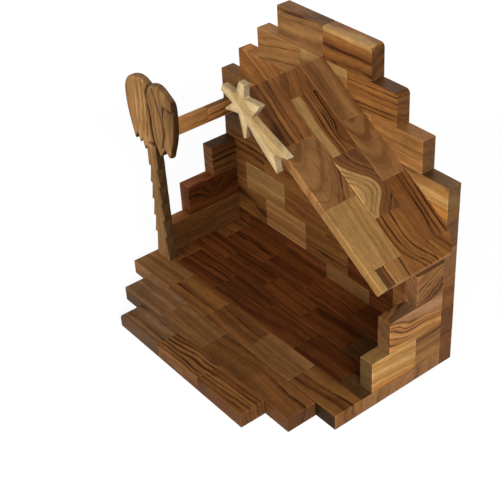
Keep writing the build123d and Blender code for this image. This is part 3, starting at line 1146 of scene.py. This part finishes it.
@dataclass
class Roof(Glued):
    """Three strips of thin tiles down the slope, with fillers at the eave and one sawn-off corner."""

    lay: Lay = DOWN_ROOF
    # Painted highlight on the tiles' edges, partly real rubbing.
    tile_edge_highlight_and_wear: float = 0.35
    # End values above 1 are painted light on the eave's end faces and on the ridge edge.
    blocks: dict[str, Look] = field(default_factory=lambda: {
        "roof_front_tile_1": Look(
            Finish.BROWN, -70, -6, 0.03, ((-8.6, 3.4), (-1.8, 0.6), (2.6, 0.3), (6.3, 0.7)), 1.08, end=1.2,
        ),
        "roof_front_tile_2": Look(Finish.TAN, -8.6, -2, 0.52, ((17, 1.0), (9, 0.12)), 0.84, side=1.3),
        "roof_front_tile_3": Look(Finish.CREAM, -80, -8, 0.02, (), 0.78, side=1.05),
        "eave_filler_1": Look(Finish.CREAM, -80, -8, 0.01, (), 0.74, end=1.3, side=1.15),
        "eave_filler_2": Look(Finish.PLUM, -60, -8, 0.0, (), 0.74, end=1.3),
        "eave_filler_3": Look(Finish.HONEY, -60, -8, 0.03, ((5, 0.5),), 0.88, end=1.3),
        "roof_middle_tile_1": Look(Finish.BROWN, -60, -8, 0.40, ((5, 0.3),), 1.0, end=1.2),
        "roof_middle_tile_2": Look(
            Finish.STRIPED, -60, -8, 0.01, ((-11.6, 0.9), (0.6, 0.7), (5.1, 0.8), (7.4, 0.5), (9.7, 0.9)),
            0.8, Zone(-3.4, SAPWOOD), Knot(13, 6.2, 6, 3, 4),
        ),
        "roof_middle_tile_3": Look(
            Finish.PLUM, -60, -8, 0.0, ((-2, 0.8), (1.8, 0.4), (-16, 0.3), (-20, 0.35), (-25, 0.3)), 0.98,
            Zone(-12, SAPWOOD), Knot(5, 0, 17, 40, -21),
        ),
        "roof_middle_tile_4": Look(
            Finish.AMBER, -60, -8, 0.0, ((-5.8, 0.6), (1.6, 0.8), (-10, 0.4)), 0.79,
            knot=Knot(26, 0, 15, 30, -13), end=1.3,
        ),
        "roof_rear_tile_1": Look(Finish.TAN, -60, -8, 0.02, (), 0.84, end=0.9),
        "roof_rear_tile_2": Look(Finish.TAN, -0.3, -3, 0.45, (), 0.8),
        "roof_rear_tile_3": Look(
            Finish.BROWN, -60, -8, 0.03, ((0.4, 0.8), (4.5, 0.6), (9.6, 0.9), (-10.2, 0.9)), 0.98,
        ),
    })
    cut_blocks: dict[str, Look] = field(default_factory=lambda: {
        "roof_rear_tile_4": Look(
            Finish.AMBER, -60, -8, -0.40, ((-6, 0.6), (-1, 0.6), (3, 0.9)), 0.82, end=1.3,
        ),
    })

    def build(self, shop: Workshop) -> None:
        """Lay the tiles strip by strip, with paler edges than other blocks: painted highlight, partly
        rubbing.

        Args:
            shop: Where the pieces are made.
        """
        for tiles in (self.blocks, self.cut_blocks):
            tiles.update({node: replace(look, edge_highlight_and_wear=self.tile_edge_highlight_and_wear) for node, look in tiles.items()})
        super().build(shop)


@dataclass
class SideBeam(Glued):
    """Two slats end to end, from the back wall to the palm."""

    lay: Lay = INTO_DEPTH
    blocks: dict[str, Look] = field(default_factory=lambda: {
        # Painted light: the rear slat's tone of 3 lightens it where the roof's shadow falls on it.
        "side_beam_rear": Look(Finish.TAN, 50, 8, 0.05, ((0, 0.8), (4, 0.6)), 3.0, side=0.52),
        "side_beam_front": Look(Finish.HONEY, 60, 8, 0.01, (), 1.5, side=1.5),
    })


def dense_copy(node: str, step: float) -> Mesh:
    """Copy of a node's solid as an even, fine mesh that can be carved.

    Args:
        node: Name of the node.
        step: Size of the mesh's faces.

    Returns:
        The mesh.
    """
    holder = placed("carving_holder", solid_copy(node))
    modifier = holder.modifiers.new("fine", "REMESH")
    modifier.mode = "VOXEL"
    modifier.voxel_size = step
    modifier.use_smooth_shade = True
    return plain_mesh(holder)


def smooth_step(low: float, high: float, value: np.ndarray) -> np.ndarray:
    """Smooth step from 0 at low to 1 at high."""
    share = np.clip((value - low) / (high - low), 0, 1)
    return share * share * (3 - 2 * share)


def distance_to_line(points: np.ndarray, line: np.ndarray) -> np.ndarray:
    """Distance from each point to a line of corners, all in one plane.

    Args:
        points: One point per row.
        line: The line's corners in order.

    Returns:
        One distance for each point.
    """
    nearest = np.full(len(points), np.inf)
    for start, end in zip(line, line[1:]):
        run = end - start
        share = np.clip((points - start) @ run / (run @ run), 0, 1)
        nearest = np.minimum(nearest, np.linalg.norm(points - start - share[:, None] * run, axis=1))
    return nearest


def front_share(points: np.ndarray, fade: Pair) -> np.ndarray:
    """How much of a carving reaches each point: all at the front, less and less towards the back.

    Args:
        points: One point per row.
        fade: Factor on the distance from the back, and what is added to it.

    Returns:
        One share for each point.
    """
    y, (gain, shift) = points[:, 1], fade
    return np.clip(gain * (y.max() - y) / (y.max() - y.min()) + shift, 0, 1)


def press(mesh: Mesh, depth: np.ndarray) -> None:
    """Move each point of a mesh back by its depth.

    Args:
        mesh: The mesh to carve.
        depth: How far each point moves.
    """
    points = points_of(mesh)
    points[:, 1] += depth
    mesh.vertices.foreach_set("co", points.astype(np.float32).ravel())
    mesh.update()


@dataclass(frozen=True)
class Groove:
    """Hollow cut along a line, whose points are shares of the crown's width and height.

    Its depth and half width are in millimetres.
    """

    points: tuple[Pair, ...]
    depth: float
    half_width: float
    hollow: float = 1.3

    def cut(self, shares: np.ndarray, scale: np.ndarray) -> np.ndarray:
        """Depth of this cut.

        Args:
            shares: Points of the crown, as shares of its width and height.
            scale: The crown's width and height.

        Returns:
            Depth at each point, nothing beyond the cut's width.
        """
        off = distance_to_line(shares * scale, np.array(self.points) * scale)
        return self.depth * MM * np.clip(1 - off / (self.half_width * MM), 0, 1) ** self.hollow


@dataclass
class Palm:
    """Flat palm: saw-tooth trunk, and a crown carved into long overlapping fronds."""

    look: Look = Look(Finish.PALM, -40, -12, 0.02, side=0.25, edge_highlight_and_wear=0.0)
    mesh_step: float = 0.4 * MM
    crown_height: float = 60 * MM
    grooves: tuple[Groove, ...] = (
        Groove(((0.05, 0.98), (-0.03, 0.83), (-0.03, 0.71), (0.0, 0.60), (0.02, 0.48), (0.015, 0.34),
                (0.03, 0.22), (0.06, 0.10)), 2.2, 2.2),
        Groove(((0.12, 0.92), (0.15, 0.82), (0.18, 0.73), (0.22, 0.63), (0.25, 0.54), (0.28, 0.45),
                (0.29, 0.36), (0.22, 0.12)), 1.7, 1.8),
        Groove(((0.31, 0.76), (0.38, 0.735), (0.50, 0.73)), 1.8, 1.6),
        Groove(((0.31, 0.75), (0.32, 0.67), (0.335, 0.58), (0.33, 0.45), (0.31, 0.29)), 1.0, 1.6),
        Groove(((-0.27, 0.90), (-0.30, 0.70), (-0.315, 0.53), (-0.315, 0.38), (-0.315, 0.2)), 0.9, 2.2),
        Groove(((-0.20, 0.90), (-0.213, 0.71), (-0.225, 0.56), (-0.245, 0.41), (-0.28, 0.2)), 1.2, 2.2),
        Groove(((-0.14, 0.93), (-0.115, 0.75), (-0.118, 0.61), (-0.13, 0.46), (-0.17, 0.2)), 1.3, 2.2),
        Groove(((-0.10, 0.93), (-0.07, 0.79), (-0.047, 0.70), (-0.055, 0.55), (-0.063, 0.38),
                (-0.096, 0.15)), 1.4, 2.0),
        Groove(((0.04, 0.82), (0.06, 0.68), (0.08, 0.55), (0.09, 0.42), (0.10, 0.30), (0.12, 0.15)),
               1.1, 1.9),
    )
    front_fade: Pair = (1.6, -0.6)
    tucked_leaf: Pair = (0.30, 0.74)
    tucked_depth: float = 1.1 * MM
    tucked_fade: float = 0.35
    full_cut: float = 2.0 * MM
    cut_shade: float = 0.6
    left_tone: float = 1.26
    right_tone: float = 0.88
    trunk_tone: float = 0.82
    crown_foot: Pair = (-0.02, 0.04)
    lobe_border: Pair = (-0.03, 0.03)

    def build(self, shop: Workshop) -> None:
        """Carve the palm's solid and dress it.

        Args:
            shop: Where the pieces are made.
        """
        mesh = dense_copy("palm_tree", self.mesh_step)
        depth = self.carving(points_of(mesh))
        press(mesh, depth)
        shop.finished(mesh, "palm_tree", UPRIGHT, (self.look,))
        self.tone(mesh, depth)

    def tone(self, mesh: Mesh, depth: np.ndarray) -> None:
        """Lighten the left lobe, darken the right lobe and the trunk, and paint shade into the cuts.

        Args:
            mesh: The dressed palm.
            depth: Depth of the cut at each point.
        """
        starts, corners = face_corners(mesh)
        cut = np.maximum.reduceat(depth[corners], starts) / self.full_cut
        values = np.empty(len(starts), np.float32)
        mesh.attributes["shade"].data.foreach_get("value", values)
        across, up = self.shares(points_of(mesh))[0][corners[starts]].T
        lobe = self.left_tone + (self.right_tone - self.left_tone) * smooth_step(*self.lobe_border, across)
        values *= self.trunk_tone + (lobe - self.trunk_tone) * smooth_step(*self.crown_foot, up)
        # Painted shade in the carved hollows.
        values *= 1 - self.cut_shade * np.clip(cut, 0, 1)
        mesh.attributes["shade"].data.foreach_set("value", values.astype(np.float32))

    def shares(self, points: np.ndarray) -> tuple[np.ndarray, np.ndarray]:
        """Places across and up the crown, from its middle and its foot.

        Args:
            points: The fine mesh's points.

        Returns:
            Each place as shares of the crown's width and height, and that width and height.
        """
        x, z = points[:, 0], points[:, 2]
        width, foot = x.max() - x.min(), z.max() - self.crown_height
        places = np.column_stack([(x - x.min()) / width - 0.5, (z - foot) / self.crown_height])
        return places, np.array([width, self.crown_height])

    def carving(self, points: np.ndarray) -> np.ndarray:
        """How far each point moves in from the front face.

        Args:
            points: The fine mesh's points.

        Returns:
            Depth of the cut at each point.
        """
        shares, scale = self.shares(points)
        depth = np.max([groove.cut(shares, scale) for groove in self.grooves], axis=0)
        edge, height = self.tucked_leaf
        below = np.clip(1 - (height - shares[:, 1]) / self.tucked_fade, 0, 1) * (shares[:, 1] < height)
        depth += self.tucked_depth * below * (shares[:, 0] > edge)
        return depth * front_share(points, self.front_fade) * smooth_step(*self.crown_foot, shares[:, 1])


@dataclass
class CometStar:
    """Flat star with carved ridges on its rays and a forked tail along the roof's slope."""

    look: Look = Look(Finish.STAR, -30, 12, 0.0, edge_highlight_and_wear=-0.15)
    mesh_step: float = 0.4 * MM
    facet_width: float = 4.4 * MM
    facet_depth: float = 1.4 * MM
    tail_facet_depth: float = 0.8 * MM
    tail_start: float = 12 * MM
    front_fade: Pair = (2, -1)

    def build(self, shop: Workshop) -> None:
        """Carve the star's solid and dress it.

        Args:
            shop: Where the pieces are made.
        """
        mesh = dense_copy("comet_star", self.mesh_step)
        press(mesh, self.carving(points_of(mesh), self.outline()))
        shop.finished(mesh, "comet_star", ALONG_TAIL, (self.look,))

    @staticmethod
    def outline() -> np.ndarray:
        """Read the outline of the star's front face.

        Returns:
            Its corners in order, across and up.
        """
        work = merged("comet_star")
        face = min(work.faces, key=lambda f: f.normal.y * f.calc_area())
        corners = np.array([(v.co.x, v.co.z) for v in face.verts])
        work.free()
        return corners

    def carving(self, points: np.ndarray, corners: np.ndarray) -> np.ndarray:
        """How far each point moves in from the front, so that each ray rises to a ridge.

        Args:
            points: The fine mesh's points.
            corners: Corners of the star's outline.

        Returns:
            Depth of the cut at each point.
        """
        nearest = distance_to_line(points[:, [0, 2]], np.vstack([corners, corners[:1]]))
        along = ALONG_TAIL.local(points)[:, 0]
        tail = smooth_step(0, self.tail_start, along - along.mean())
        depth = self.facet_depth + tail * (self.tail_facet_depth - self.facet_depth)
        ridge = 1 - np.clip(nearest / self.facet_width, 0, 1)
        return depth * front_share(points, self.front_fade) * ridge


def aimed(thing: Piece, place: Vector, aim: Vector, roll: float = 0.0) -> None:
    """Put a lamp or camera in its place and turn it to its aim.

    Args:
        thing: The lamp or camera.
        place: Where it stands.
        aim: The point that it looks at.
        roll: Its turn about its own line of sight.
    """
    thing.location = place
    thing.rotation_mode = "QUATERNION"
    thing.rotation_quaternion = (aim - place).to_track_quat("-Z", "Y") @ Quaternion(UP, roll)


@dataclass(frozen=True)
class Softbox:
    """A large soft lamp."""

    title: str
    place: Triple
    side: float
    watts: float

    def build(self, aim: Vector) -> None:
        """Add the lamp, turned to the object.

        Args:
            aim: The point that it shines at.
        """
        data = bpy.data.lights.new(self.title, "AREA")
        data.size = self.side
        data.energy = self.watts
        aimed(placed(self.title, data), Vector(self.place), aim)


@dataclass
class Studio:
    """White floor and surroundings, soft lamps and the camera at the photograph's place."""

    camera_place: Vector = field(default_factory=lambda: Vector((0.564495, -0.42107, 0.57551)))
    camera_aim: Vector = field(default_factory=lambda: Vector((0.040663, -0.03463, 0.11047)))
    camera_roll: float = math.radians(-3.694)
    camera_lens: float = 83.18
    camera_clip: float = 0.01
    floor_side: float = 6.0
    floor_drop: float = 0.2 * MM
    sky_strength: float = 0.2
    floor_roughness: float = 0.9
    floor_tone: float = 0.3
    floor_seen_tone: float = 0.8
    floor_glow: float = 0.72
    glow_strength: float = 1.2
    shadow_reach: Pair = (0.35, 0.8)
    lamps: tuple[Softbox, ...] = (
        Softbox("front_softbox", (0.05, -1.18, 0.42), 0.5, 9.6),
        Softbox("side_softbox", (1.10, -0.40, 0.57), 0.5, 11.6),
        Softbox("back_softbox", (-0.55, 0.95, 0.85), 0.6, 4.0),
    )

    def build(self) -> None:
        """Set the stage."""
        self.add_camera()
        for lamp in self.lamps:
            lamp.build(self.camera_aim)
        self.add_floor()
        self.add_sky()
        bpy.context.scene.view_settings.view_transform = "Standard"

    def add_camera(self) -> None:
        """Camera at the photograph's viewing angle."""
        data = bpy.data.cameras.new("camera")
        data.lens = self.camera_lens
        data.clip_start = self.camera_clip
        camera = placed("camera", data)
        aimed(camera, self.camera_place, self.camera_aim, self.camera_roll)
        bpy.context.scene.camera = camera

    @staticmethod
    def seen_share(graph: Graph) -> Socket:
        """Tell the rays that look at the surroundings from those that light the object.

        Args:
            graph: Tree of the floor or the sky.

        Returns:
            1 for a camera, mirror or glass ray, else 0.
        """
        path = graph.add("ShaderNodeLightPath").outputs
        seen = graph.math("MAXIMUM", path["Is Camera Ray"], path["Is Glossy Ray"])
        return graph.math("MAXIMUM", seen, path["Is Transmission Ray"])

    def add_floor(self) -> None:
        """White floor that glows where it is looked at, least near the object, where it takes a shadow."""
        half = self.floor_side / 2
        mesh = bpy.data.meshes.new("floor")
        square = ((-half, -half), (half, -half), (half, half), (-half, half))
        mesh.from_pydata([(x, y, -self.floor_drop) for x, y in square], [], [(0, 1, 2, 3)])
        material = bpy.data.materials.new("white_floor")
        material.use_nodes = True
        graph = Graph(material.node_tree)
        shader = material.node_tree.nodes["Principled BSDF"]
        seen = self.seen_share(graph)
        tones = [(*[tone] * 3, 1) for tone in (self.floor_tone, self.floor_seen_tone)]
        graph.feed(shader, {
            "Base Color": graph.mix(seen, *tones),
            "Roughness": self.floor_roughness,
            "Specular IOR Level": 0.0,
        })
        place = graph.add("ShaderNodeNewGeometry").outputs["Position"]
        away = graph.add("ShaderNodeVectorMath", {0: place}, operation="LENGTH")
        far = graph.ramp(away.outputs["Value"], *self.shadow_reach)
        share = graph.math("MULTIPLY_ADD", far, 1 - self.floor_glow, self.floor_glow)
        glow = graph.add("ShaderNodeEmission", {"Strength": self.glow_strength})
        mixed = graph.add("ShaderNodeMixShader", {
            0: graph.math("MULTIPLY", seen, share),
            1: shader.outputs[0],
            2: glow.outputs[0],
        })
        graph.feed(material.node_tree.nodes["Material Output"], {0: mixed.outputs[0]})
        mesh.materials.append(material)
        placed("floor", mesh)

    def add_sky(self) -> None:
        """White surroundings: full white to the eye, softer as light."""
        world = bpy.data.worlds.new("white_room")
        world.use_nodes = True
        graph = Graph(world.node_tree)
        light = world.node_tree.nodes["Background"]
        seen = self.seen_share(graph)
        strength = graph.math("MULTIPLY_ADD", seen, 1 - self.sky_strength, self.sky_strength)
        graph.feed(light, {"Color": (1, 1, 1, 1), "Strength": strength})
        bpy.context.scene.world = world


def main() -> None:
    """Build every sub-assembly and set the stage."""
    logging.basicConfig(level=logging.INFO, format="%(name)s: %(message)s")
    shop = Workshop()
    for assembly in (BackWall(), Base(), SideWalls(), Roof(), SideBeam(), Palm(), CometStar()):
        assembly.build(shop)
        log.info("%s done", type(assembly).__name__)
    Studio().build()


if __name__ == "__main__":
    main()
